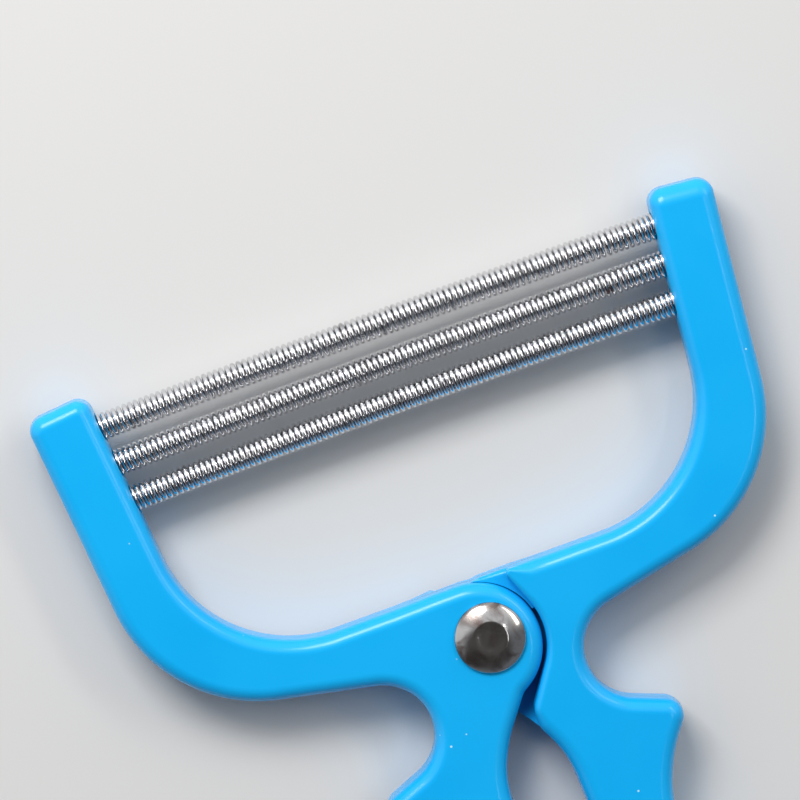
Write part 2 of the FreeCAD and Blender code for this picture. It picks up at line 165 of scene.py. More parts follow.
class Track:
    """A run of outline samples, built up from lines and arcs."""

    def __init__(self) -> None:
        """Start with no samples."""
        self.samples: list[Sample] = []

    def add(self, sample: Sample) -> None:
        """Add a sample, unless it repeats the last one."""
        if not self.samples or abs(sample[0] - self.samples[-1][0]) > SAME_PLACE:
            self.samples.append(sample)

    def arc(self, bend: Bend) -> None:
        """Add an arc, after a straight line from where the run has come to.

        Args:
            bend: the arc.
        """
        if self.samples:
            self.line(bend.start)
        for sample in bend.samples():
            self.add(sample)

    def line(self, end: complex, start: complex | None = None) -> None:
        """Add a straight line.

        Args:
            end: where the line goes to.
            start: where it comes from, if not from the last sample.
        """
        begin = self.samples[-1][0] if start is None else start
        length = abs(end - begin)
        if length < SAME_PLACE:
            return
        normal = 1j * (end - begin) / length
        count = max(1, math.ceil(length / LINE_STEP))
        for index in range(0 if start is not None else 1, count + 1):
            self.add((begin + (end - begin) * index / count, normal))


# Nodes of shaders and of geometry trees, written as expressions

class Value:
    """A node's output socket, with arithmetic that adds Math nodes."""

    def __init__(self, board: "Board", socket: Socket) -> None:
        """Wrap a socket of the board's tree."""
        self.board = board
        self.socket = socket

    def _math(self, operation: str, *values: Any) -> "Value":
        """Add a Math node for one operation."""
        return self.board.node("ShaderNodeMath", {"operation": operation}, dict(enumerate(values)))

    def __add__(self, other: Any) -> "Value":
        """Sum."""
        return self._math("ADD", self, other)

    def __sub__(self, other: Any) -> "Value":
        """Difference."""
        return self._math("SUBTRACT", self, other)

    def __rsub__(self, other: Any) -> "Value":
        """Difference, with the plain number first."""
        return self._math("SUBTRACT", other, self)

    def __mul__(self, other: Any) -> "Value":
        """Product."""
        return self._math("MULTIPLY", self, other)

    def __truediv__(self, other: Any) -> "Value":
        """Quotient."""
        return self._math("DIVIDE", self, other)

    __radd__ = __add__
    __rmul__ = __mul__

    def least(self, other: Any) -> "Value":
        """The smaller of two values."""
        return self._math("MINIMUM", self, other)

    def power(self, exponent: Any) -> "Value":
        """The value raised to a power."""
        return self._math("POWER", self, exponent)

    def sine(self) -> "Value":
        """Sine of an angle in radians."""
        return self._math("SINE", self)

    def cosine(self) -> "Value":
        """Cosine of an angle in radians."""
        return self._math("COSINE", self)

    def ramp(self, low: float, high: float, start: float = 0.0, end: float = 1.0) -> "Value":
        """Go smoothly from one number to another as the value rises.

        Args:
            low: the value at which the way starts.
            high: the value at which it ends.
            start: the number up to there.
            end: the number from there on.

        Returns:
            The number for the value.
        """
        return self.board.node(
            "ShaderNodeMapRange",
            {"interpolation_type": "SMOOTHSTEP"},
            {"Value": self, "From Min": low, "From Max": high, "To Min": start, "To Max": end},
        )


class Board:
    """Adds nodes to one node tree."""

    def __init__(self, tree: bpy.types.NodeTree) -> None:
        """Take the tree to add to."""
        self.tree = tree

    def node(
        self, kind: str, settings: dict[str, Any], inputs: dict[Any, Any], output: Any = 0
    ) -> Value:
        """Add a node.

        Args:
            kind: the node's type.
            settings: its properties, which are set first.
            inputs: what goes into it, as for feed.
            output: the output to hand back, by name or number.

        Returns:
            That output.
        """
        made = self.tree.nodes.new(kind)
        for name, setting in settings.items():
            setattr(made, name, setting)
        self.feed(made, inputs)
        return Value(self, made.outputs[output] if len(made.outputs) else None)

    def feed(self, node: bpy.types.Node, inputs: dict[Any, Any]) -> None:
        """Set or link a node's inputs.

        Args:
            node: the node.
            inputs: values or links of its sockets, by name or number, with a list where
                several links meet in one socket.
        """
        for name, given in inputs.items():
            for value in given if isinstance(given, list) else [given]:
                if isinstance(value, Value):
                    self.tree.links.new(value.socket, node.inputs[name])
                else:
                    node.inputs[name].default_value = value

    def mix(self, factor: Any, one: Any, other: Any) -> Value:
        """Mix two colours.

        Args:
            factor: the share of the other colour.
            one: the first colour, as three numbers or a value.
            other: the other colour.

        Returns:
            The mixed colour.
        """
        colours = {MIX_ONE: self._colour(one), MIX_OTHER: self._colour(other)}
        inputs = {"Factor": factor, **colours}
        return self.node("ShaderNodeMix", {"data_type": "RGBA"}, inputs, MIX_RESULT)

    @staticmethod
    def _colour(colour: Any) -> Any:
        """A colour socket's value, with its alpha where it is plain numbers."""
        return colour if isinstance(colour, Value) else (*colour, 1.0)

    def object_place(self) -> Value:
        """The place on the object, in metres."""
        return self.node("ShaderNodeTexCoord", {}, {}, "Object")

    def noise(self, scale: float, detail: float = 2.0, **inputs: Any) -> Value:
        """Noise on the object's coordinates, from 0 to 1."""
        sockets = {"Vector": self.object_place(), "Scale": scale, "Detail": detail, **inputs}
        return self.node("ShaderNodeTexNoise", {}, sockets)

    def bump(self, height: Value, depth: float) -> Value:
        """A normal that stands for a small relief, with its depth in metres."""
        return self.node("ShaderNodeBump", {}, {"Height": height, "Distance": depth})


def new_material(name: str) -> tuple[bpy.types.Material, Board, bpy.types.Node]:
    """Make a material with one Principled shader.

    Args:
        name: the material's name.

    Returns:
        The material, a board on its tree, and the shader's node.
    """
    material = bpy.data.materials.new(name)
    material.use_nodes = True
    return material, Board(material.node_tree), material.node_tree.nodes["Principled BSDF"]


@dataclass(frozen=True)
class Plastic:
    """Glossy moulded plastic: faint clouds and ripples, dust, and painted shade in the gap round
    the pivot.
    """

    name: str
    colour: Colour
    deep_colour: Colour
    roughness: float = 0.22
    roughness_spread: float = 0.08
    sheen: float = 0.36
    # Faint clouds and ripples
    cloud_scale: float = 38.0
    cloud_from: float = 0.35
    cloud_full: float = 0.7
    ripple_scale: float = 260.0
    ripple_detail: float = 3.0
    ripple_depth: float = 0.000012
    # Specks of dust
    dust_colour: Colour = (0.55, 0.85, 1.0)
    speck_scale: float = 300.0
    speck_size: float = 0.075
    speck_core: float = 0.5
    speck_share: float = 0.66
    speck_blend: float = 0.03
    speck_patches: float = 0.4
    # Painted shade round the pivot: a darker colour on the lap's faces at the middle plane, which
    # stands for the shade in the gap between the arms
    painted_shade_colour: Colour = (0.003, 0.11, 0.3)
    painted_shade_reach: float = 0.014
    painted_shade_fade: float = 1.25
    painted_shade_depth: float = 0.0003
    painted_shade_core: float = 0.5

    def painted_shade(self, board: Board) -> Value:
        """Work out where shade is painted: on the lap's rubbing faces, round the pivot, in the gap
        between the arms.

        Args:
            board: the board to add to.

        Returns:
            The share of grime.
        """
        middle = (0.0, 0.0, MIDDLE * MM)
        off = board.node(
            "ShaderNodeVectorMath", {"operation": "SUBTRACT"}, {0: board.object_place(), 1: middle}
        )
        reach = board.node("ShaderNodeVectorMath", {"operation": "LENGTH"}, {0: off}, 1)
        level = board.node("ShaderNodeVectorMath", {"operation": "ABSOLUTE"}, {0: off})
        depth = board.node("ShaderNodeSeparateXYZ", {}, {0: level}, 2)
        near = reach.ramp(self.painted_shade_reach, self.painted_shade_reach * self.painted_shade_fade, 1.0, 0.0)
        return near * depth.ramp(self.painted_shade_depth * self.painted_shade_core, self.painted_shade_depth, 1.0, 0.0)

    def material(self) -> bpy.types.Material:
        """Build the material.

        Returns:
            The material.
        """
        made, board, shader = new_material(self.name)
        cloud = board.noise(self.cloud_scale)
        clouded = cloud.ramp(self.cloud_from, self.cloud_full)
        body = board.mix(clouded, self.colour, self.deep_colour)
        cell = board.node(
            "ShaderNodeTexVoronoi", {}, {"Vector": board.object_place(), "Scale": self.speck_scale}
        )
        chosen = board.noise(self.speck_scale * self.speck_patches, 0.0).ramp(
            self.speck_share - self.speck_blend, self.speck_share + self.speck_blend
        )
        core = self.speck_size * self.speck_core
        speck = cell.ramp(core, self.speck_size, 1.0, 0.0) * chosen
        # Painted shade: the colour darkens on the lap's faces round the pivot, for the shade in
        # the gap between the arms.
        body = board.mix(self.painted_shade(board), body, self.painted_shade_colour)
        colour = board.mix(speck, body, self.dust_colour)
        ripple = board.noise(self.ripple_scale, self.ripple_detail)
        rough = ripple * self.roughness_spread + (self.roughness - self.roughness_spread / 2.0)
        normal = board.bump(ripple, self.ripple_depth)
        inputs = {"Base Color": colour, "Roughness": rough, "Normal": normal}
        board.feed(shader, {**inputs, "Specular IOR Level": self.sheen})
        return made


@dataclass(frozen=True)
class Steel:
    """Polished steel with smudges, and small dents where it was pressed."""

    name: str
    colour: Colour
    smudge_colour: Colour
    roughness: float = 0.1
    smudge_roughness: float = 0.2
    smudge_scale: float = 420.0
    smudge_detail: float = 4.0
    smudge_twist: float = 0.6
    smudge_low: float = 0.5
    smudge_high: float = 0.75
    dent_depth: float = 0.0
    dent_coarseness: float = 0.8
    dent_detail: float = 1.0
    metallic: float = 1.0
    dirt_place: Place | None = None
    dirt_size: float = 0.001
    dirt_core: float = 0.4
    dirt_colour: Colour = (0.13, 0.05, 0.035)

    def material(self) -> bpy.types.Material:
        """Build the material.

        Returns:
            The material.
        """
        made, board, shader = new_material(self.name)
        streaks = board.noise(self.smudge_scale, self.smudge_detail, Distortion=self.smudge_twist)
        smudge = streaks.ramp(self.smudge_low, self.smudge_high)
        colour = board.mix(smudge, self.colour, self.smudge_colour)
        rough = smudge * self.smudge_roughness + self.roughness
        if self.dirt_place:
            away = board.node(
                "ShaderNodeVectorMath",
                {"operation": "DISTANCE"},
                {0: board.object_place(), 1: self.dirt_place},
                1,
            )
            dirt = away.ramp(self.dirt_size * self.dirt_core, self.dirt_size, 1.0, 0.0)
            colour = board.mix(dirt, colour, self.dirt_colour)
            rough = rough + dirt * self.smudge_roughness
        inputs = {"Base Color": colour, "Roughness": rough, "Metallic": self.metallic}
        if self.dent_depth:
            dents = board.noise(self.smudge_scale * self.dent_coarseness, self.dent_detail)
            inputs["Normal"] = board.bump(dents, self.dent_depth)
        board.feed(shader, inputs)
        return made


BLUE_PLASTIC = Plastic("sky_blue_plastic", (0.009, 0.44, 0.905), (0.006, 0.415, 0.885))
COVER_PLASTIC = Plastic("sky_blue_cover", (0.008, 0.425, 0.895), (0.006, 0.405, 0.875))
SPRING_STEEL = Steel(
    "bright_wire",
    (0.75, 0.75, 0.765),
    (0.42, 0.42, 0.43),
    roughness=0.06,
    smudge_low=0.55,
    dirt_place=(0.0392, 0.0484, 0.0082),
)
RIVET_STEEL = Steel(
    "rivet_steel",
    (0.5, 0.49, 0.48),
    (0.15, 0.12, 0.11),
    smudge_scale=300.0,
    smudge_low=0.4,
    smudge_high=0.7,
    dent_depth=0.00004,
    metallic=0.92,
)
PIN_STEEL = Steel("pin_steel", (0.6, 0.6, 0.62), (0.4, 0.4, 0.41), roughness=0.3)


class Half(Enum):
    """The two halves of the tool, which differ by half a turn about the Y axis."""

    RIGHT = "right"
    LEFT = "left"

    @property
    def body(self) -> str:
        """The body that the half's pieces ride."""
        return f"{self.value}_half"

    def place(self) -> Matrix:
        """Stand a piece that was drawn as the right half's, in millimetres, in the frame.

        Returns:
            The matrix that does it.
        """
        over = Matrix.Rotation(math.pi, 4, "Y") if self is Half.LEFT else Matrix.Identity(4)
        return IN_METRES @ Matrix.Translation((0.0, 0.0, MIDDLE)) @ over


def new_object(name: str, data: bpy.types.ID) -> bpy.types.Object:
    """Put a mesh, a lamp or a camera into the scene as an object at the origin."""
    made = bpy.data.objects.new(name, data)
    bpy.context.scene.collection.objects.link(made)
    return made


def mesh_from(name: str, shape: bmesh.types.BMesh, smooth: bool = True) -> bpy.types.Mesh:
    """Close a shape's seams, point its faces outwards and store it.

    Args:
        name: the mesh's name.
        shape: the shape, which is freed.
        smooth: whether its gentle edges are shaded smooth.

    Returns:
        The mesh.
    """
    bmesh.ops.remove_doubles(shape, verts=shape.verts, dist=SAME_PLACE)
    bmesh.ops.recalc_face_normals(shape, faces=shape.faces)
    mesh = bpy.data.meshes.new(name)
    shape.to_mesh(mesh)
    shape.free()
    if smooth:
        mesh.shade_smooth()
        mesh.set_sharp_from_angle(angle=SHARP_ANGLE)
    return mesh


def report(piece: bpy.types.Object) -> None:
    """Log a finished piece."""
    LOG.info("%s: %d faces", piece.name, len(piece.data.polygons))


def dress(piece: bpy.types.Object, material: bpy.types.Material, slot: str, *nodes: str) -> None:
    """Finish a piece.

    Args:
        piece: the piece.
        material: its material.
        slot: the name of its material slot; not used.
        nodes: the CAD nodes that it stands for.
    """
    piece.data.materials.clear()
    piece.data.materials.append(material)
    if nodes:
        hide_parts(*nodes)
    report(piece)


def eased(share: float) -> float:
    """Rise smoothly from 0 to 1 and stay there."""
    clipped = min(1.0, max(0.0, share))
    return clipped * clipped * (3.0 - 2.0 * clipped)


def ring(
    shape: bmesh.types.BMesh,
    samples: Sequence[Sample],
    heights: float | Sequence[float],
    insets: Sequence[float] | None = None,
) -> list[bmesh.types.BMVert]:
    """Add one row of corners along an outline.

    Args:
        shape: the shape to add to.
        samples: the outline.
        heights: the row's height, or one for each sample.
        insets: how far inside the outline each corner lies, if at all.

    Returns:
        The corners.
    """
    count = len(samples)
    levels = [heights] * count if isinstance(heights, float) else heights
    inward = insets or [0.0] * count
    row = []
    for (place, outward), level, inset in zip(samples, levels, inward):
        corner = place - outward * inset
        row.append(shape.verts.new((corner.real, corner.imag, level)))
    return row


def sew(shape: bmesh.types.BMesh, rings: Sequence[list[bmesh.types.BMVert]]) -> None:
    """Join closed rows of corners, each to the next, with faces.

    Args:
        shape: the shape to add to.
        rings: the rows, which have the same number of corners.
    """
    for one, other in zip(rings, rings[1:]):
        for index in range(len(one)):
            before = index - 1
            shape.faces.new((one[before], one[index], other[index], other[before]))


def turned(profile: Sequence[tuple[float, float]], sides: int) -> bmesh.types.BMesh:
    """Turn a half profile about the Z axis.

    Args:
        profile: points as (distance from the axis, height); it starts and ends on the axis.
        sides: the number of sides.

    Returns:
        The closed shape.
    """
    shape = bmesh.new()
    rings = []
    for distance, height in profile:
        if distance == 0.0:
            rings.append([shape.verts.new((0.0, 0.0, height))] * sides)
            continue
        spokes = [heading(360.0 * index / sides) * distance for index in range(sides)]
        rings.append([shape.verts.new((spoke.real, spoke.imag, height)) for spoke in spokes])
    for one, other in zip(rings, rings[1:]):
        for index in range(sides):
            loop = (one[index - 1], one[index], other[index], other[index - 1])
            shape.faces.new(list(dict.fromkeys(loop)))
    return shape


@dataclass
class Arm:
    """One moulded arm, drawn as the right one; both arms are the same moulding.

    Its front layer has a step beside the other arm's lap, its back layer a lap of its own.
    """

    finish: Plastic = BLUE_PLASTIC
    half_thickness: float = 5.0
    # Rounded edges and the draft of the walls
    edge_radius: float = 2.4
    edge_steps: int = 10
    sharp_edge: float = 0.02
    rim: float = 0.15
    rim_share: float = 0.25
    draft: float = 0.16
    draft_run: float = 6.0
    # Lap
    lap_centre: complex = 2.4 - 1.1j
    lap_radius: float = 11.0
    lap_face: float = -0.1
    # Step beside the other arm's lap, and the rounding of its edge
    step_clearance: float = 0.66
    step_top_angle: float = 21.0
    step_low_angle: float = -34.0
    step_low_radius: float = 4.0
    step_low_x: float = 2.8
    step_foot_radius: float = 3.0
    step_corner_radius: float = 0.8
    step_edge_radius: float = 1.3
    step_corner_edge: float = 0.5
    step_edge_run: float = 5.0
    corner_edge_run: float = 9.0
    top_edge_run: float = 3.5
    # Ledge in the step's upper part
    ledge_clearance: float = 0.21
    ledge_tip_clearance: float = 0.05
    ledge_angle: float = 15.5
    ledge_depth: float = 2.4
    ledge_back: float = 1.0
    ledge_root: float = 0.6
    ledge_edge: float = 1.0
    ledge_edge_slope: float = 0.3
    # Bow and tip bar
    bow_inner_radius: float = 23.5
    bow_outer_radius: float = 27.0
    underside_angle: float = 12.0
    bar_width: float = 11.5
    bar_splay: float = 5.2
    bar_point: complex = 49.2 + 49.3j
    tip_length: float = 13.0
    tip_reach: float = 0.95
    tip_run: float = 7.0
    tip_inner_radius: float = 2.75
    tip_outer_radius: float = 3.0
    # Finger notch and handle
    notch_centre: complex = 23.0 - 10.2j
    notch_radius: float = 8.8
    hook_angle: float = -21.6
    hook_reach: float = 28.7
    hook_radius: float = 3.2
    waist: complex = 18.4 - 35.8j
    waist_radius: float = 27.0
    grip_angle: float = 8.0
    grip_end: complex = -86.5j
    grip_end_width: float = 12.2
    grip_end_radius: float = 5.6
    grip_bend: complex = 6.3 - 40.0j
    grip_inner_angle: float = 2.5
    grip_inner_radius: float = 60.0
    # Throat, between the handle and the lap
    throat_radius: float = 22.0
    throat_inset: float = 0.386
    throat_angle: float = 37.0
    chin_angle: float = 60.0
    chin_radius: float = 3.0
    # Rivet's bore, and the springs' holes, cavity and cover seat in the tip bar
    bore_radius: float = 2.55
    bore_sides: int = 64
    bore_reach: float = 9.0
    hole_radius: float = 2.725
    hole_spacing: float = 6.65
    hole_mouth: float = 0.3
    hole_before: float = 3.0
    hole_past: float = 1.0
    wall: float = 5.2
    cavity_reach: float = 9.475
    cavity_half_width: float = 2.8
    seat_low: float = -11.7
    seat_high: float = 10.1
    seat_depth: float = 9.55
    seat_half_width: float = 3.3

    @property
    def lap_top(self) -> complex:
        """The lap's topmost point."""
        return self.lap_centre + 1j * self.lap_radius

    @property
    def other_lap_centre(self) -> complex:
        """The centre of the other arm's lap."""
        return complex(-self.lap_centre.real, self.lap_centre.imag)

    @property
    def along(self) -> complex:
        """Direction of the tip bar, towards its free end."""
        return heading(90.0 - self.bar_splay)

    @property
    def outward(self) -> complex:
        """Direction across the tip bar, away from the springs."""
        return heading(-self.bar_splay)

    @property
    def bar_turn(self) -> Matrix:
        """Turns a shape square to the tip bar."""
        return Matrix.Rotation(math.radians(-self.bar_splay), 4, "Z")

    def on_bar(self, along: float, outward: float) -> complex:
        """A point of the tip bar, from the middle spring's place on its inner face."""
        return self.bar_point + self.along * along + self.outward * outward

    def corners(self) -> list[tuple[complex, float]]:
        """Lay out the whole outline, as if its edges met in sharp corners.

        Returns:
            The corners, clockwise from the bow, with their radii.
        """
        lap_top = self.lap_top
        chin_angle = 90.0 + self.chin_angle
        lap_low = self.lap_centre + heading(chin_angle + 90.0) * self.lap_radius
        bar_angle = 90.0 - self.bar_splay
        tip_outer = self.on_bar(self.tip_length, self.bar_width)
        under = self.underside_angle
        notch_top = self.notch_centre + heading(90.0 + under) * self.notch_radius
        notch_low = self.notch_centre + heading(self.hook_angle - 90.0) * self.notch_radius
        grip_heading = self.grip_angle - 90.0
        end_outer = meet(self.waist, grip_heading, self.grip_end, 0.0)
        throat_angle = 90.0 + self.throat_angle
        throat_start = lap_low - heading(throat_angle + 90.0) * self.throat_inset
        inner_angle = 90.0 + self.grip_inner_angle
        return [
            (meet(lap_top, 0.0, self.bar_point, bar_angle), self.bow_inner_radius),
            (self.on_bar(self.tip_length, 0.0), self.tip_inner_radius),
            (tip_outer, self.tip_outer_radius),
            (meet(tip_outer, bar_angle, notch_top, under), self.bow_outer_radius),
            (meet(notch_top, under, notch_low, self.hook_angle), self.notch_radius),
            (meet(notch_low, self.hook_angle, self.hook_reach + 0j, 90.0), self.hook_radius),
            (self.waist, self.waist_radius),
            (end_outer, self.grip_end_radius),
            (end_outer + heading(grip_heading - 90.0) * self.grip_end_width, self.grip_end_radius),
            (self.grip_bend, self.grip_inner_radius),
            (meet(self.grip_bend, inner_angle, throat_start, throat_angle), self.throat_radius),
            (meet(throat_start, throat_angle, lap_low, chin_angle), self.chin_radius),
            (meet(lap_low, chin_angle, lap_top, 0.0), self.lap_radius),
        ]

    def bends(self) -> list[Bend]:
        """Round the corners of the whole outline.

        Returns:
            The arcs, in order.
        """
        corners = self.corners()
        count = len(corners)
        return [
            Bend.in_corner(corners[index - 1][0], place, corners[(index + 1) % count][0], radius)
            for index, (place, radius) in enumerate(corners)
        ]

    def step_bends(self, throat: Bend) -> list[Bend]:
        """Work out the step beside the other arm's lap, from its foot to its top.

        Args:
            throat: the arc of the outline that the step's foot springs from.

        Returns:
            The foot's, lower, wall's and top corner's arcs.
        """
        foot_x = self.step_low_x + self.step_foot_radius
        reach = abs(throat.start - throat.centre) + self.step_foot_radius
        rise = math.sqrt(reach**2 - (foot_x - throat.centre.real) ** 2)
        foot_centre = complex(foot_x, throat.centre.imag + rise)
        foot_start = foot_centre - unit(foot_centre - throat.centre) * self.step_foot_radius
        foot_end = foot_centre - self.step_foot_radius
        foot = Bend(foot_centre, foot_start, foot_end, True)
        radius = self.lap_radius + self.step_clearance
        centre = self.other_lap_centre
        wall_top = centre + heading(self.step_top_angle) * radius
        wall_low = centre + heading(self.step_low_angle) * radius
        top_angle, low_angle = self.step_top_angle + 90.0, self.step_low_angle + 90.0
        low = meet(wall_low, low_angle, complex(self.step_low_x, 0.0), 90.0)
        wall = meet(wall_low, low_angle, wall_top, top_angle)
        above = meet(wall_top, top_angle, self.lap_top, 0.0)
        return [
            foot,
            Bend.in_corner(low - 1j, low, wall, self.step_low_radius),
            Bend.in_corner(low, wall, above, radius),
            Bend.in_corner(wall, above, above + 1.0, self.step_corner_radius),
        ]

    def tracks(self) -> tuple[list[Sample], list[Sample], list[Sample]]:
        """Split the outline into three runs.

        Returns:
            What both layers share, from the step's top round to its foot; then what only
            the back layer has, and what only the front layer has, without their ends.
        """
        bends = self.bends()
        throat = bends[-3]
        step = self.step_bends(throat)
        foot, top = step[0], step[-1]
        shared, lap, front = Track(), Track(), Track()
        shared.line(bends[0].start, top.end)
        for bend in bends[:-3]:
            shared.arc(bend)
        shared.arc(Bend(throat.centre, throat.start, foot.start, False))
        lap.arc(Bend(throat.centre, foot.start, throat.end, False))
        for bend in bends[-2:]:
            lap.arc(bend)
        lap.line(top.end)
        for bend in step:
            front.arc(bend)
        return shared.samples, lap.samples[1:-1], front.samples[1:-1]

    def front_edges(self, shared: list[Sample], front: list[Sample]) -> list[float]:
        """Work out the front edge's rounding, which is smaller along the step.

        Args:
            shared: the samples from the step's top round to its foot.
            front: the samples of the step, from its foot up.

        Returns:
            The radius at each sample, for the shared ones and then the step's.
        """
        radius = self.edge_radius
        start = shared[0][0]
        radii = []
        for place, _ in shared:
            share = eased(abs(place - start) / self.top_edge_run)
            radii.append(self.step_corner_edge + (radius - self.step_corner_edge) * share)
        places = [shared[-1][0], *(place for place, _ in front)]
        runs = list(accumulate(abs(place - last) for last, place in zip(places, places[1:])))
        for run in runs:
            from_foot = eased(run / self.step_edge_run)
            from_top = eased((runs[-1] - run) / self.corner_edge_run)
            edge = radius + (self.step_edge_radius - radius) * from_foot
            radii.append(self.step_corner_edge + (edge - self.step_corner_edge) * from_top)
        return radii

    def drafts(self, shared: list[Sample]) -> list[float]:
        """Work out how far the walls lean inwards by the time they meet the rounding.

        Args:
            shared: the samples from the step's top round to its foot.

        Returns:
            The lean at each sample.
        """
        ends = (shared[0][0], shared[-1][0])
        return [
            self.draft * eased(min(abs(place - end) for end in ends) / self.draft_run)
            for place, _ in shared
        ]

    def draw_back(self, rows: list[list[bmesh.types.BMVert]]) -> None:
        """Let the front edge's rounding reach further along the bar at its tip.

        Args:
            rows: the front edge's rows of corners.
        """
        spring = self.half_thickness - self.edge_radius
        for corner in (corner for row in rows for corner in row):
            level = (corner.co.z - spring) / self.edge_radius
            if level <= 0.0:
                continue
            offset = complex(corner.co.x, corner.co.y) - self.bar_point
            along = (offset / self.along).real
            share = eased((along - self.tip_length + self.tip_run) / self.tip_run)
            inward = 1.0 - math.sqrt(1.0 - min(1.0, level) ** 2)
            shift = self.along * (self.tip_reach * share * inward)
            corner.co.x -= shift.real
            corner.co.y -= shift.imag

    def rounded_rings(
        self,
        shape: bmesh.types.BMesh,
        samples: Sequence[Sample],
        radii: Sequence[float],
        face: float,
        drafts: Sequence[float] = (),
    ) -> list[list[bmesh.types.BMVert]]:
        """Add the rows of a rounded edge, from the flat face out and down to the wall.

        Args:
            shape: the shape to add to.
            samples: the outline.
            radii: the edge's rounding at each sample.
            face: the flat face's height, above or below the middle.
            drafts: how far the wall leans inwards at each sample; the samples past them don't.

        Returns:
            The rows.
        """
        side = 1.0 if face > 0.0 else -1.0
        lean = [*drafts, *[0.0] * (len(samples) - len(drafts))]
        rim = [min(self.rim, radius * self.rim_share) for radius in radii]
        flat = [sum(parts) for parts in zip(radii, rim, lean)]
        rows = [ring(shape, samples, face, flat)]
        for step in range(self.edge_steps + 1):
            turn = math.pi / 2.0 * step / self.edge_steps
            drop, inset = 1.0 - math.cos(turn), 1.0 - math.sin(turn)
            levels = [face - side * radius * drop for radius in radii]
            insets = [radius * inset + draft for radius, draft in zip(radii, lean)]
            rows.append(ring(shape, samples, levels, insets))
        levels = [face - side * (radius + below) for radius, below in zip(radii, rim)]
        rows.append(ring(shape, samples, levels, lean))
        return rows

    def shell(self) -> bmesh.types.BMesh:
        """Make the blank, with its rounded edges and its lap.

        Returns:
            The closed shape, in millimetres.
        """
        shared, lap, front = self.tracks()
        shape = bmesh.new()
        half = self.half_thickness
        even = [self.edge_radius] * (len(shared) + len(lap))
        drafts = self.drafts(shared)
        back = self.rounded_rings(shape, shared + lap, even, -half, drafts)
        edges = self.front_edges(shared, front)
        face = self.rounded_rings(shape, shared + front, edges, half, drafts)
        self.draw_back(face)
        seam = ring(shape, shared, self.lap_face)
        lap_rim = ring(shape, lap, self.lap_face)
        front_rim = ring(shape, front, self.lap_face)
        sew(shape, [*back, seam + lap_rim])
        sew(shape, [seam + front_rim, *reversed(face)])
        shape.faces.new(back[0])
        shape.faces.new(face[0])
        shape.faces.new([seam[-1], *lap_rim, seam[0], *reversed(front_rim)])
        return shape

    def hollow(self, near: complex, start: complex, end: complex) -> Bend:
        """Find the hollow arc that has the lap's radius and joins two points.

        Args:
            near: a point on the side of its centre.
            start: where it starts.
            end: where it ends.

        Returns:
            The arc.
        """
        middle = (start + end) / 2.0
        half = abs(end - start) / 2.0
        side = 1j if cross(end - start, near - middle) > 0.0 else -1j
        across = side * unit(end - start)
        return Bend(middle + across * math.sqrt(self.lap_radius**2 - half**2), start, end, False)

    def ledge(self) -> bmesh.types.BMesh:
        """Make the ledge that fills the step's upper part, close to the other arm's lap.

        Returns:
            The closed shape, in millimetres.
        """
        centre = self.other_lap_centre
        # The tip lies where the lap's circle meets the other lap's, widened by a clearance.
        close = self.lap_radius + self.ledge_tip_clearance
        lean = (close**2 - self.lap_radius**2) / (4.0 * self.lap_centre.real)
        rise = math.sqrt(close**2 - (lean + self.lap_centre.real) ** 2)
        tip = complex(lean, self.lap_centre.imag + rise)
        behind = self.lap_radius + self.step_clearance + self.ledge_back
        outer = centre + heading(self.ledge_angle) * behind
        inner = centre + heading(self.ledge_angle) * (self.lap_radius + self.ledge_clearance)
        track = Track()
        track.arc(Bend(self.lap_centre, tip, self.lap_top, True))
        track.line(complex(centre.real + behind - self.ledge_back, self.lap_top.imag))
        rounded = len(track.samples)
        track.line(outer)
        track.line(inner)
        track.arc(self.hollow(centre, inner, tip))
        samples = track.samples[:-1]
        radii = [self.sharp_edge] * len(samples)
        for index, (place, _) in enumerate(samples[:rounded]):
            widened = max(self.sharp_edge, abs(place - tip) * self.ledge_edge_slope)
            radii[index] = min(self.ledge_edge, widened)
        shape = bmesh.new()
        top = self.rounded_rings(shape, samples, radii, self.half_thickness - self.ledge_depth)
        foot = ring(shape, samples, self.lap_face - self.ledge_root)
        sew(shape, [*top, foot])
        shape.faces.new(top[0])
        shape.faces.new(foot)
        return shape

    def block(
        self, low: float, high: float, inner: float, outer: float, half: float
    ) -> bmesh.types.BMesh:
        """Make a block that is square to the tip bar.

        Args:
            low: its lower end along the bar.
            high: its upper end along the bar.
            inner: its inner face, from the bar's inner face.
            outer: its outer face.
            half: half its depth.

        Returns:
            The closed shape, in millimetres.
        """
        shape = bmesh.new()
        bmesh.ops.create_cube(shape, size=1.0)
        centre = self.on_bar((low + high) / 2.0, (inner + outer) / 2.0)
        place = Matrix.Translation((centre.real, centre.imag, 0.0)) @ self.bar_turn
        sizes = Matrix.Diagonal((outer - inner, high - low, 2.0 * half, 1.0))
        bmesh.ops.transform(shape, matrix=place @ sizes, verts=shape.verts)
        return shape

    def cutters(self) -> list[bmesh.types.BMesh]:
        """Make what is cut from the blank.

        Returns:
            The bore, the cover's seat, the cavity and the three springs' holes.
        """
        radius, reach = self.bore_radius, self.bore_reach
        bore = turned(
            [(0.0, -reach), (radius, -reach), (radius, reach), (0.0, reach)], self.bore_sides
        )
        outside = self.bar_width + self.half_thickness
        seat = self.block(
            self.seat_low, self.seat_high, self.seat_depth, outside, self.seat_half_width
        )
        reach = self.cavity_reach
        cavity = self.block(-reach, reach, self.wall, self.bar_width, self.cavity_half_width)
        cuts = [bore, seat, cavity]
        spacing = self.hole_spacing / math.cos(math.radians(self.bar_splay))
        start, end = -self.hole_before, self.wall + self.hole_past
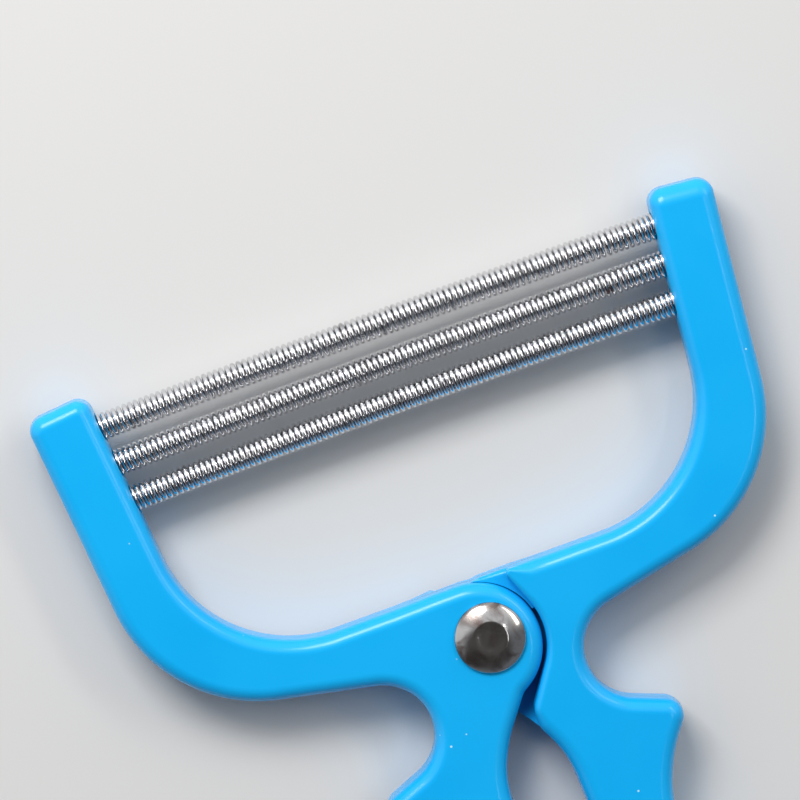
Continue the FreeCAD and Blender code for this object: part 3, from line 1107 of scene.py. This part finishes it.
        # The mouth widens at 45 degrees, from just inside the bar's face to well before it.
        profile = [
            (0.0, start),
            (self.hole_radius + self.hole_mouth - start, start),
            (self.hole_radius, self.hole_mouth),
            (self.hole_radius, end),
            (0.0, end),
        ]
        lay = Matrix.Rotation(math.pi / 2.0, 4, "Y")
        for number in SPRING_PLACES:
            hole = turned(profile, self.bore_sides)
            foot = self.on_bar(number * spacing, 0.0)
            place = Matrix.Translation((foot.real, foot.imag, 0.0)) @ self.bar_turn @ lay
            bmesh.ops.transform(hole, matrix=place, verts=hole.verts)
            cuts.append(hole)
        return cuts

    def moulding(self) -> bpy.types.Mesh:
        """Join the ledge to the blank and cut the holes.

        Returns:
            The finished arm's mesh, in millimetres.
        """
        blank = new_object("arm_blank", mesh_from("arm_blank", self.shell(), smooth=False))
        steps = [("UNION", self.ledge()), *(("DIFFERENCE", cut) for cut in self.cutters())]
        tools = []
        for number, (operation, shape) in enumerate(steps):
            tool = new_object(f"arm_tool_{number}", mesh_from(f"arm_tool_{number}", shape, False))
            modifier = blank.modifiers.new(tool.name, "BOOLEAN")
            modifier.operation = operation
            modifier.solver = "EXACT"
            modifier.object = tool
            tools.append(tool)
        graph = bpy.context.evaluated_depsgraph_get()
        mesh = bpy.data.meshes.new_from_object(blank.evaluated_get(graph))
        for spent in (blank, *tools):
            bpy.data.objects.remove(spent)
        mesh.shade_smooth()
        mesh.set_sharp_from_angle(angle=SHARP_ANGLE)
        return mesh

    def build(self) -> None:
        """Make both arms."""
        mesh = self.moulding()
        material = self.finish.material()
        for half in Half:
            name = f"{half.value}_arm"
            own = mesh.copy()
            own.transform(half.place())
            arm = new_object(f"{name}_moulding", own)
            dress(arm, material, "arm_plastic", name)
            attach(arm, half.body)


@dataclass
class Cover:
    """The strip that closes each tip bar's outer slot, with the two ribs on its back."""

    arm: Arm
    finish: Plastic = COVER_PLASTIC
    inset: float = 0.35
    play: float = 0.05
    edge: float = 0.3
    edge_steps: int = 3
    rib_width: float = 1.2
    rib_start: float = 6.75

    def shape(self) -> bmesh.types.BMesh:
        """Make the strip and its ribs.

        Returns:
            The shape, in millimetres.
        """
        arm, play = self.arm, self.play
        inner, outer = arm.seat_depth, arm.bar_width - self.inset
        low, high = arm.seat_low + play, arm.seat_high - play
        strip = arm.block(low, high, inner, outer, arm.seat_half_width - play)
        bmesh.ops.bevel(
            strip,
            geom=list(strip.edges),
            offset=self.edge,
            segments=self.edge_steps,
            profile=0.5,
            affect="EDGES",
        )
        for side in (-1, 1):
            # A rib stands between two springs.
            middle = side * arm.hole_spacing / 2.0
            ends = (middle - self.rib_width / 2.0, middle + self.rib_width / 2.0)
            rib = arm.block(*ends, self.rib_start, inner, arm.cavity_half_width - play)
            mesh = bpy.data.meshes.new("rib")
            rib.to_mesh(mesh)
            rib.free()
            strip.from_mesh(mesh)
            bpy.data.meshes.remove(mesh)
        return strip

    def build(self) -> None:
        """Make both covers."""
        material = self.finish.material()
        for half in Half:
            name = f"{half.value}_cover"
            mesh = mesh_from(name, self.shape())
            mesh.transform(half.place())
            cover = new_object(f"{name}_strip", mesh)
            dress(cover, material, "cover_plastic", name)
            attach(cover, half.body)


@dataclass
class Rivet:
    """The domed front head with its shank, and the back head with its post."""

    arm: Arm
    finish: Steel = RIVET_STEEL
    sides: int = 128
    # Front head, with its rim, shoulder, dome and dimple
    head_radius: float = 6.1
    head_height: float = 1.9
    rim_height: float = 0.35
    rim_chamfer: float = 0.1
    shoulder: float = 0.5
    shoulder_share: float = 0.7
    shoulder_turns: Sequence[float] = (30.0, 50.0, 70.0, 90.0)
    shoulder_drop: float = 0.8
    dome_radius: float = 12.5
    dome_steps: int = 14
    dimple_radius: float = 2.9
    dimple_floor: float = 1.2
    dimple_depth: float = 0.15
    dimple_steps: int = 10
    # Shank, with the bore for the post
    shank_radius: float = 2.5
    shank_end: float = 2.0
    post_bore: float = 1.64
    bore_end: float = 8.4
    # Back head and post
    back_radius: float = 5.2
    back_height: float = 1.5
    back_edge: float = 0.45
    back_turns: Sequence[float] = (-90.0, -67.5, -45.0, -22.5, 0.0)
    back_chamfer: float = 0.15
    post_radius: float = 1.6
    post_end: float = 7.9

    @property
    def seat(self) -> float:
        """Height of the arms' front face, on which the head sits."""
        return MIDDLE + self.arm.half_thickness

    def head_profile(self) -> list[tuple[float, float]]:
        """Draw the front head's outside, with its dimple, dome, shoulder and rim.

        Returns:
            Its points as (distance from the axis, height), out and down to its seat.
        """
        top = self.seat + self.head_height
        lip = self.dimple_radius
        points = [(0.0, top - self.dimple_depth)]
        for step in range(self.dimple_steps + 1):
            share = step / self.dimple_steps
            distance = self.dimple_floor + (lip - self.dimple_floor) * share
            points.append((distance, top - self.dimple_depth * (1.0 - eased(share))))
        edge = self.head_radius - self.shoulder * self.shoulder_share
        lip_rise = math.sqrt(self.dome_radius**2 - lip**2)
        for step in range(1, self.dome_steps + 1):
            distance = lip + (edge - lip) * step / self.dome_steps
            rise = math.sqrt(self.dome_radius**2 - distance**2) - lip_rise
            points.append((distance, top + rise))
        last_distance, last_height = points[-1]
        drop = last_height - self.seat - self.rim_height
        for turn in self.shoulder_turns:
            share = heading(turn)
            distance = last_distance + (self.head_radius - last_distance) * share.imag
            lift = drop * share.real * self.shoulder_drop
            points.append((distance, self.seat + self.rim_height + lift))
        points.append((self.head_radius, self.seat + self.rim_chamfer))
        points.append((self.head_radius - self.rim_chamfer, self.seat))
        return points

    def cap(self) -> bmesh.types.BMesh:
        """Make the front head and its tubular shank.

        Returns:
            The closed shape, in millimetres.
        """
        return turned(
            [
                *self.head_profile(),
                (self.shank_radius, self.seat),
                (self.shank_radius, self.shank_end),
                (self.post_bore, self.shank_end),
                (self.post_bore, self.bore_end),
                (0.0, self.bore_end),
            ],
            self.sides,
        )

    def post(self) -> bmesh.types.BMesh:
        """Make the back head, on which the tool lies, and its post.

        Returns:
            The closed shape, in millimetres.
        """
        edge, radius, height = self.back_edge, self.back_radius, self.back_height
        points = [(0.0, 0.0)]
        for turn in self.back_turns:
            spoke = heading(turn) * edge
            points.append((radius - edge + spoke.real, edge + spoke.imag))
        points += [
            (radius, height - self.back_chamfer),
            (radius - self.back_chamfer, height),
            (self.post_radius, height),
            (self.post_radius, self.post_end),
            (0.0, self.post_end),
        ]
        return turned(points, self.sides)

    def build(self) -> None:
        """Make both parts of the rivet; they stay with the left half."""
        material = self.finish.material()
        for name, shape in (("rivet_cap", self.cap()), ("rivet_post", self.post())):
            mesh = mesh_from(name, shape)
            mesh.transform(IN_METRES)
            piece = new_object(f"{name}_turned", mesh)
            dress(piece, material, "rivet_steel", name)
            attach(piece, Half.LEFT.body)


@dataclass
class CoilSpring:
    """A tension spring of round wire that runs from pin to pin, with a loop at each end."""

    arm: Arm
    name: str
    place: int
    pitch: float
    unevenness: float
    seed: int
    finish: bpy.types.Material
    # Coil, and how far it is tucked into each bar
    tuck: float = 1.0
    coil_radius: float = 1.945
    wire_radius: float = 0.44
    points_per_turn: int = 26
    wire_sides: int = 12
    # How the coil strays from an even, straight one
    arch: float = 0.4
    closeness: float = 0.011
    closeness_power: float = 7.0
    wobble_rate: float = 0.37
    wobble_detail: float = 2.0
    steadiness: float = 0.2
    sway_share: float = 0.35
    # Ends of the coil, and the loops round the pins
    tail_turns: float = 0.7
    pin_depth: float = 5.97
    loop_play: float = 0.03
    pin_radius: float = 0.75
    loop_radius: float = 1.5
    loop_points: int = 40

    def sizes(self) -> dict[str, float | int]:
        """Work out the tree's inputs.

        Returns:
            Each input by its name, with lengths in metres.
        """
        along = self.place * self.arm.hole_spacing
        middle, splay = self.arm.bar_point, math.radians(self.arm.bar_splay)
        face = middle.real + along * math.tan(splay)
        reach = face + self.tuck
        turns = round(2.0 * reach / self.pitch)
        pin = face + self.pin_depth / math.cos(splay)
        bite = self.pin_radius + self.loop_play - (self.loop_radius - self.wire_radius)
        return {
            "Turns": float(turns),
            "Points": turns * self.points_per_turn + 1,
            "Wire Sides": self.wire_sides,
            "Coil Radius": self.coil_radius * MM,
            "Wire Radius": self.wire_radius * MM,
            "Half Length": reach * MM,
            "Arch": self.arch * MM,
            "Closeness": self.closeness,
            "Tail Turns": self.tail_turns,
            "Unevenness": self.unevenness * MM,
            "Seed": float(self.seed),
            "Loop Distance": (pin + bite) * MM,
            "Loop Radius": self.loop_radius * MM,
            "Place Y": (middle.imag + along) * MM,
            "Place Z": MIDDLE * MM,
        }

    def tree(self) -> tuple[bpy.types.NodeTree, dict[str, str]]:
        """Build the geometry tree of the wire.

        Returns:
            The tree, and each input's identifier by its name.
        """
        tree = bpy.data.node_groups.new("coil_of_wire", "GeometryNodeTree")
        face = tree.interface
        face.new_socket("Geometry", in_out="OUTPUT", socket_type="NodeSocketGeometry")
        for name, size in self.sizes().items():
            kind = "NodeSocketInt" if isinstance(size, int) else "NodeSocketFloat"
            face.new_socket(name, in_out="INPUT", socket_type=kind)
        face.new_socket("Finish", in_out="INPUT", socket_type="NodeSocketMaterial")
        board = Board(tree)
        given = board.node("NodeGroupInput", {}, {}).socket.node
        size = {socket.name: Value(board, socket) for socket in given.outputs if socket.name}

        # Where each point of the helix lies: a share of the way, and turns from the near end
        index = board.node("GeometryNodeInputIndex", {}, {})
        share = index / (size["Points"] - 1.0)
        across = share * 2.0 - 1.0
        turned_by = share * size["Turns"]
        from_end = share.least(1.0 - share) * size["Turns"]
        drawn_in = self._eased(from_end / size["Tail Turns"])
        angle = turned_by * math.tau

        # The turns drift a little from their even places, but not at the ends
        along = self._vector(board, turned_by * self.wobble_rate, size["Seed"], 0.0)
        wobble = board.node(
            "ShaderNodeTexNoise",
            {"noise_dimensions": "2D"},
            {"Vector": along, "Scale": 1.0, "Detail": self.wobble_detail},
        )
        steady = self._eased(from_end * self.steadiness)
        drift = (wobble - 0.5) * size["Unevenness"] * steady

        # They crowd towards both bars, and the middle arches up
        radius = size["Coil Radius"] * drawn_in
        squared = across * across
        bunched = 1.0 - squared.power(self.closeness_power)
        place_x = across * (bunched * size["Closeness"] + 1.0) * size["Half Length"] + drift
        rise = (1.0 - squared) * size["Arch"] + drift * self.sway_share + size["Place Y"]
        place = self._vector(
            board,
            place_x,
            angle.cosine() * radius + rise,
            angle.sine() * radius + size["Place Z"],
        )
        line = board.node("GeometryNodeCurvePrimitiveLine", {}, {"End": (1.0, 0.0, 0.0)})
        dotted = board.node(
            "GeometryNodeResampleCurve", {}, {"Curve": line, "Count": size["Points"]}
        )
        helix = board.node("GeometryNodeSetPosition", {}, {"Geometry": dotted, "Position": place})

        # The wire: a round section drawn along the helix and the two hooks
        parts = [helix]
        for side in (-1.0, 1.0):
            parts += self._hook(board, size, side)
        wires = board.node("GeometryNodeJoinGeometry", {}, {"Geometry": parts})
        section = board.node(
            "GeometryNodeCurvePrimitiveCircle",
            {},
            {"Resolution": size["Wire Sides"], "Radius": size["Wire Radius"]},
        )
        tube = board.node(
            "GeometryNodeCurveToMesh",
            {},
            {"Curve": wires, "Profile Curve": section, "Fill Caps": True},
        )
        smooth = board.node("GeometryNodeSetShadeSmooth", {}, {"Geometry": tube})
        real = board.node("GeometryNodeRealizeInstances", {}, {"Geometry": smooth})
        finished = board.node(
            "GeometryNodeSetMaterial", {}, {"Geometry": real, "Material": size["Finish"]}
        )
        board.node("NodeGroupOutput", {}, {"Geometry": finished})
        names = {
            item.name: item.identifier for item in face.items_tree if item.in_out == "INPUT"
        }
        return tree, names

    @staticmethod
    def _eased(share: Value) -> Value:
        """Rise smoothly from 0 to 1 and stay there."""
        clipped = share.least(1.0)
        return clipped * clipped * (3.0 - clipped * 2.0)

    @staticmethod
    def _vector(board: Board, x: Any, y: Any, z: Any) -> Value:
        """A place from its three parts."""
        return board.node("ShaderNodeCombineXYZ", {}, {"X": x, "Y": y, "Z": z})

    def _hook(self, board: Board, size: dict[str, Value], side: float) -> list[Value]:
        """Make the straight stem and the loop at one end.

        Args:
            board: the board to add to.
            size: the tree's inputs.
            side: -1 for the left end, 1 for the right.

        Returns:
            The stem's and the loop's curves.
        """
        centre, near, far = (
            self._vector(board, distance * side, size["Place Y"], size["Place Z"])
            for distance in (
                size["Loop Distance"],
                size["Half Length"] - size["Wire Radius"],
                size["Loop Distance"] - size["Loop Radius"],
            )
        )
        stem = board.node("GeometryNodeCurvePrimitiveLine", {}, {"Start": near, "End": far})
        circle = board.node(
            "GeometryNodeCurvePrimitiveCircle",
            {},
            {"Resolution": self.loop_points, "Radius": size["Loop Radius"]},
        )
        loop = board.node(
            "GeometryNodeTransform",
            {},
            {"Geometry": circle, "Translation": centre, "Rotation": (math.pi / 2.0, 0.0, 0.0)},
        )
        return [stem, loop]

    def build(self, tree: bpy.types.NodeTree, names: dict[str, str]) -> None:
        """Make the spring, which runs between the halves.

        Args:
            tree: the geometry tree of the wire.
            names: each of its inputs' identifiers, by name.
        """
        maker = new_object(f"{self.name}_maker", bpy.data.meshes.new(f"{self.name}_maker"))
        modifier = maker.modifiers.new("wire", "NODES")
        modifier.node_group = tree
        for name, size in self.sizes().items():
            modifier[names[name]] = size
        modifier[names["Finish"]] = self.finish
        graph = bpy.context.evaluated_depsgraph_get()
        mesh = bpy.data.meshes.new_from_object(maker.evaluated_get(graph))
        bpy.data.objects.remove(maker)
        spring = new_object(f"{self.name}_wire", mesh)
        dress(spring, self.finish, "spring_steel", self.name)
        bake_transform(spring)


@dataclass
class SpringSet:
    """The three equal springs, one above another, from the bottom up."""

    arm: Arm
    finish: Steel = SPRING_STEEL
    names: Sequence[str] = ("spring_bottom", "spring_middle", "spring_top")
    pitches: Sequence[float] = (0.992, 1.012, 1.03)
    unevenness: Sequence[float] = (0.18, 0.3, 0.22)
    seeds: Sequence[int] = (3, 4, 5)

    def build(self) -> None:
        """Make the springs."""
        material = self.finish.material()
        rows = zip(self.names, SPRING_PLACES, self.pitches, self.unevenness, self.seeds)
        springs = [CoilSpring(self.arm, *row, material) for row in rows]
        tree, names = springs[0].tree()
        for spring in springs:
            spring.build(tree, names)


@dataclass
class AnchorPins:
    """The pins inside the tip bars, which keep the part's own solids."""

    finish: Steel = PIN_STEEL

    def build(self) -> None:
        """Give both pins their material."""
        material = self.finish.material()
        for half in Half:
            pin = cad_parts[f"{half.value}_anchor_pin"]
            for slot in pin.material_slots:
                slot.material = material
            report(pin)


@dataclass(frozen=True)
class Lamp:
    """A soft rectangular lamp, placed by where it stands in the camera's view.

    Its first size runs away from the view's axis, and its second round it.
    """

    name: str
    bearing: float
    off_axis: float
    distance: float
    sizes: tuple[float, float]
    power: float
    colour: Colour = (1.0, 1.0, 1.0)


@dataclass
class Studio:
    """The floor, the lamps, the world and the camera.

    The world's numbers are parts of its directions along the camera's axes: a lean is how
    much one axis counts beside another, and the rest are where its shades begin and end.
    """

    # Floor
    floor_colour: Colour = (0.68, 0.675, 0.67)
    floor_roughness: float = 0.85
    floor_half: float = 3.0
    # Camera
    target: Place = (-0.59, 42.87, MIDDLE)
    tilt_up: float = 5.0
    roll: float = 20.0
    distance: float = 800.0
    pixels_per_mm: float = 5.88
    frame_pixels: float = 800.0
    sensor: float = 36.0
    nearest: float = 0.01
    furthest: float = 100.0
    # World
    overhead: Colour = (0.026, 0.022, 0.021)
    low: Colour = (0.15, 0.165, 0.19)
    sky: Colour = (0.9, 0.92, 0.95)
    overhead_lean: float = 0.5
    overhead_from: float = 0.8
    overhead_full: float = 0.98
    sky_lean: float = 0.45
    low_until: float = -0.45
    sky_from: float = 0.3
    lamps: Sequence[Lamp] = (
        Lamp("key", 122.0, 38.0, 0.7, (0.26, 0.36), 3.6, (1.0, 0.99, 0.97)),
        Lamp("window", 35.0, 48.0, 1.2, (0.13, 0.8), 2.2, (1.0, 0.94, 0.84)),
        Lamp("side", -8.0, 26.0, 1.2, (0.03, 0.5), 0.7, (0.97, 0.98, 1.0)),
    )

    def axes(self) -> tuple[Vector, Vector, Vector]:
        """Work out how the camera stands.

        Returns:
            Its right, up and back directions.
        """
        lift = math.radians(self.tilt_up)
        back = Vector((0.0, math.sin(lift), math.cos(lift)))
        right = Vector((0.0, 1.0, 0.0)).cross(back).normalized()
        up = back.cross(right)
        roll = math.radians(self.roll)
        rolled_right = right * math.cos(roll) - up * math.sin(roll)
        rolled_up = right * math.sin(roll) + up * math.cos(roll)
        return rolled_right, rolled_up, back

    def add_camera(self) -> None:
        """Stand the camera at the photo's viewing angle."""
        right, up, back = self.axes()
        data = bpy.data.cameras.new("camera")
        data.sensor_width = self.sensor
        data.lens = self.pixels_per_mm * self.distance * self.sensor / self.frame_pixels
        data.clip_start, data.clip_end = self.nearest, self.furthest
        camera = new_object("camera", data)
        turn = Matrix((right, up, back)).transposed().to_4x4()
        place = (Vector(self.target) + back * self.distance) * MM
        camera.matrix_world = Matrix.Translation(place) @ turn
        bpy.context.scene.camera = camera

    def add_lamps(self) -> None:
        """Hang the lamps round the camera's view."""
        right, up, back = self.axes()
        target = Vector(self.target) * MM
        for lamp in self.lamps:
            bearing, off_axis = math.radians(lamp.bearing), math.radians(lamp.off_axis)
            sideways = right * math.cos(bearing) + up * math.sin(bearing)
            towards = back * math.cos(off_axis) + sideways * math.sin(off_axis)
            away = sideways * math.cos(off_axis) - back * math.sin(off_axis)
            data = bpy.data.lights.new(lamp.name, "AREA")
            data.shape = "RECTANGLE"
            data.size, data.size_y = lamp.sizes
            data.energy = lamp.power
            data.color = lamp.colour
            holder = new_object(lamp.name, data)
            turn = Matrix((away, towards.cross(away), towards)).transposed().to_4x4()
            holder.matrix_world = Matrix.Translation(target + towards * lamp.distance) @ turn

    def add_world(self) -> None:
        """Light a plain studio: dark overhead, grey below the handles, bright by the tips."""
        world = bpy.data.worlds.new("studio")
        bpy.context.scene.world = world
        world.use_nodes = True
        tree = world.node_tree
        board = Board(tree)
        way = board.node("ShaderNodeTexCoord", {}, {}, "Generated")
        rightward, beyond, above = (
            board.node(
                "ShaderNodeVectorMath", {"operation": "DOT_PRODUCT"}, {0: way, 1: tuple(axis)}, 1
            )
            for axis in self.axes()
        )
        lit = beyond - rightward * self.sky_lean
        walls = board.mix(lit.ramp(self.low_until, self.sky_from), self.low, self.sky)
        height = above - beyond * self.overhead_lean
        over = height.ramp(self.overhead_from, self.overhead_full)
        shade = board.mix(over, walls, self.overhead)
        board.feed(tree.nodes["Background"], {"Color": shade})

    def add_floor(self) -> None:
        """Lay a plain pale floor."""
        shape = bmesh.new()
        bmesh.ops.create_grid(shape, x_segments=1, y_segments=1, size=self.floor_half)
        floor = new_object("floor", mesh_from("floor", shape, smooth=False))
        material, board, shader = new_material("pale_floor")
        colour = (*self.floor_colour, 1.0)
        board.feed(shader, {"Base Color": colour, "Roughness": self.floor_roughness})
        floor.data.materials.append(material)

    def build(self) -> None:
        """Set the stage."""
        self.add_floor()
        self.add_world()
        self.add_lamps()
        self.add_camera()
        bpy.context.scene.view_settings.view_transform = "Standard"


def main() -> None:
    """Build the arms, covers, rivet, springs and pins, then the studio."""
    logging.basicConfig(level=logging.INFO, format="%(message)s")
    arm = Arm()
    for assembly in (arm, Cover(arm), Rivet(arm), SpringSet(arm), AnchorPins(), Studio()):
        assembly.build()
        LOG.info("%s built", type(assembly).__name__)


if __name__ == "__main__":
    main()
